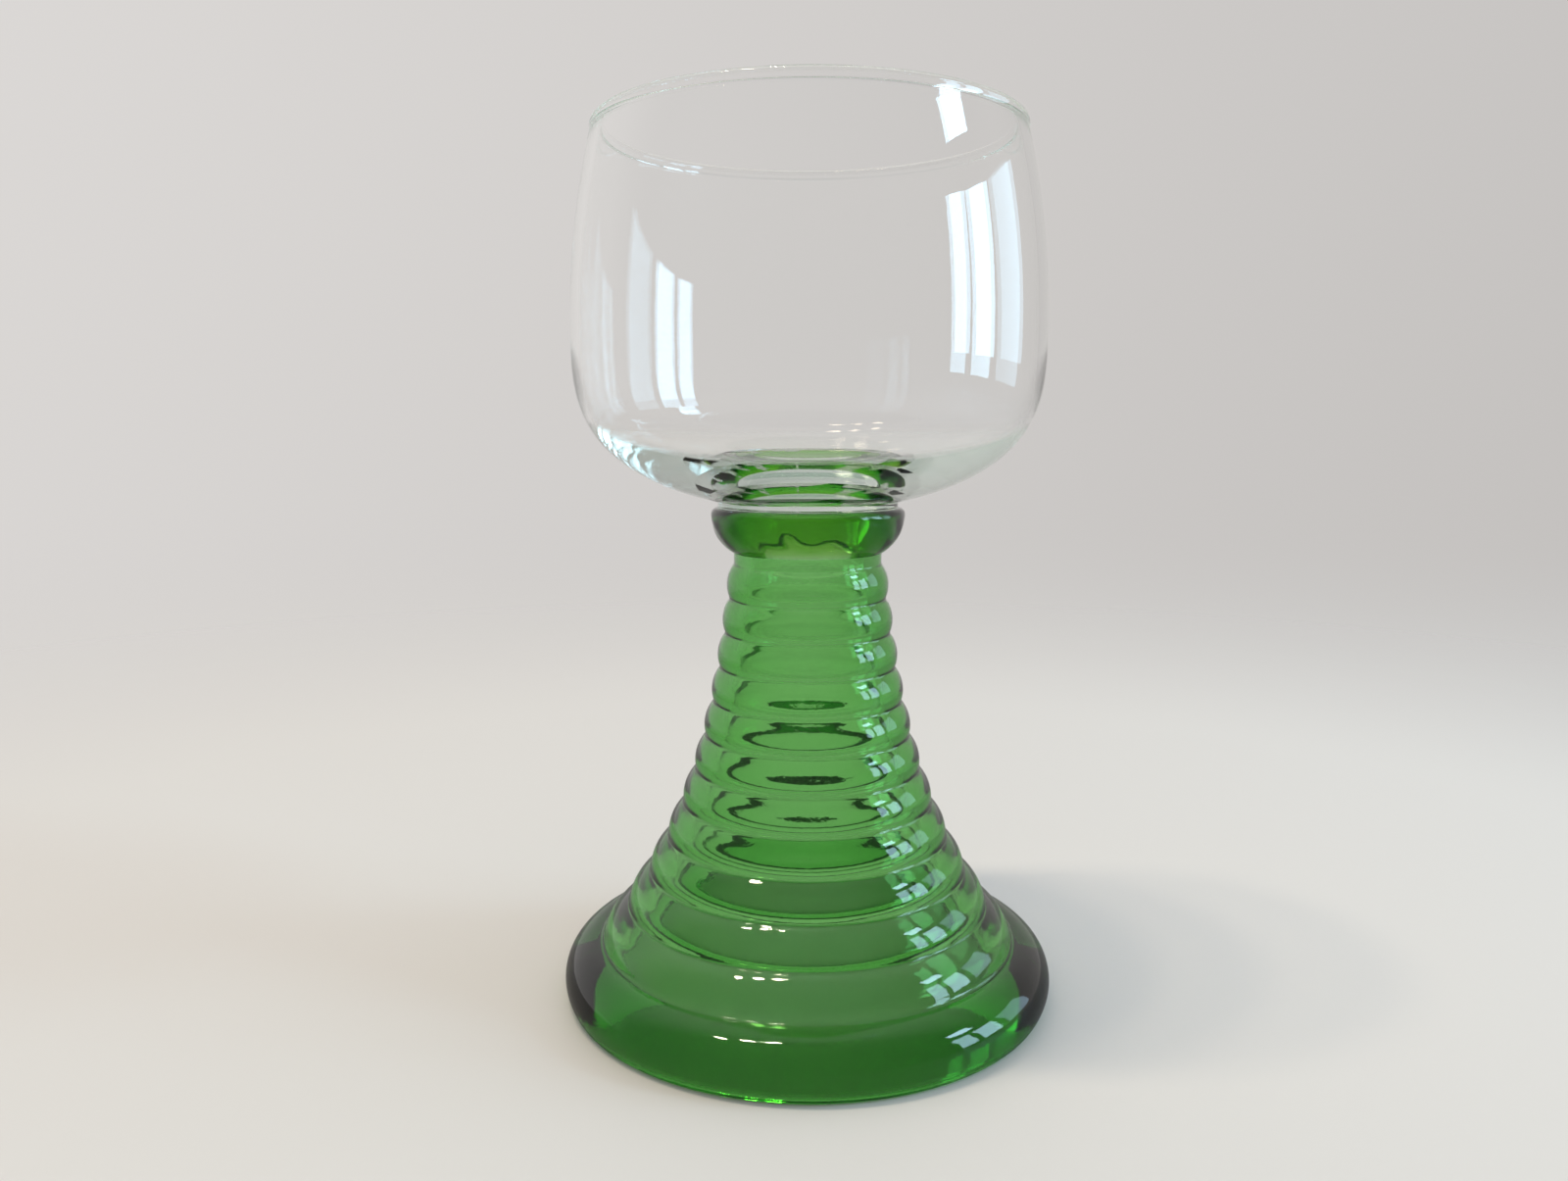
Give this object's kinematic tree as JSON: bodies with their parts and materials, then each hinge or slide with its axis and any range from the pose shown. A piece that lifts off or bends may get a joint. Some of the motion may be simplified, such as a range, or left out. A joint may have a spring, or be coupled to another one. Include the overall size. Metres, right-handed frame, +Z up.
{
  "type": "roemer glass",
  "caption": "Roemer wine glass: clear rounded bowl with a beaded rim, fused to a hollow green beehive stem whose stacked rings flare into a rolled foot, with a green collar laid round the joint.",
  "frame": {"origin": "on the table, at the centre of the foot's resting ring", "axes": "+Z up along the axis of the glass, from the foot to the rim; X and Y are free because the glass is round"},
  "size_m": [0.0794, 0.0794, 0.1369],
  "materials": {
    "clear_glass": "clear soda-lime glass, fire-polished and smooth, with faint moulding ripple",
    "green_glass": "transparent bottle-green glass, smooth, deeper in colour where it is thick",
    "collar_glass": "transparent yellow-green glass, smooth and a little uneven, as laid on by hand"
  },
  "bodies": {
    "root": {"bowl": "clear_glass", "collar": "collar_glass", "beehive_stem": "green_glass"}
  },
  "joints": []
}
